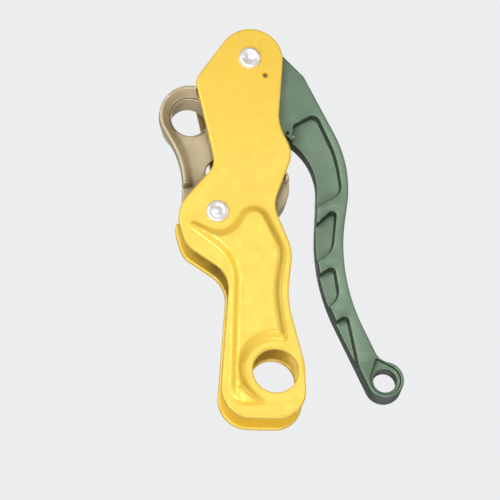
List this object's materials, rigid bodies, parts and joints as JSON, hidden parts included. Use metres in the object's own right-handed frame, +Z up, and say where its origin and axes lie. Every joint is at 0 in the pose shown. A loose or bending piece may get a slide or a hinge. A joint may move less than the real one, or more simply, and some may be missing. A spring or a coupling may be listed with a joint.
{
  "type": "rope descender",
  "caption": "Self-braking belay and descender device with two side plates, rope bollards and a sprung brake handle with a key ring end.",
  "frame": {"origin": "centre of the carabiner eye, in the middle of the rope channel between the two side plates", "axes": "+Z up the device from the eye to the upper axle, +X towards the handle, +Y along the carabiner eye from the fixed front plate to the rear plate"},
  "size_m": [0.1022, 0.0295, 0.1867],
  "materials": {
    "yellow_plate": "satin golden-yellow anodised aluminium plate",
    "bollard_alloy": "satin tan aluminium casting",
    "rivet_steel": "polished stainless steel",
    "spring_steel": "oiled spring steel",
    "bronze": "plain bearing bronze",
    "green_handle": "satin dark green coated alloy",
    "shoe_steel": "ground stainless steel"
  },
  "bodies": {
    "fixed_side": {"front_plate": "yellow_plate", "bollard_cheek": "bollard_alloy", "ring_bollard": "bollard_alloy", "lobe_bollard": "bollard_alloy", "lobe_rivets": "rivet_steel", "lower_bollard": "bollard_alloy", "lower_sleeve": "rivet_steel", "lower_axle": "rivet_steel", "hook_head": "rivet_steel", "upper_axle": "rivet_steel", "axle_collar": "rivet_steel", "rear_washer": "spring_steel", "thrust_washer_front": "bronze", "thrust_washer_rear": "bronze", "handle_spring": "spring_steel"},
    "brake_handle": {"handle": "green_handle", "pivot_bush": "bronze", "brake_shoe": "shoe_steel", "shoe_pins": "rivet_steel"},
    "rear_side": {"rear_plate": "yellow_plate"}
  },
  "joints": [
    {"name": "handle_swing", "type": "hinge", "parent": "fixed_side", "child": "brake_handle", "pos_m": [0, 0, 0.1498], "axis": [0, -1, 0], "range_deg": [-6, 70], "stiffness_Nm_per_rad": 0.2, "springref_deg": -28.65, "deforming": ["handle_spring"]},
    {"name": "rear_plate_swing", "type": "hinge", "parent": "fixed_side", "child": "rear_side", "pos_m": [0, 0, 0.1498], "axis": [0, -1, 0], "range_deg": [0, 60]}
  ]
}
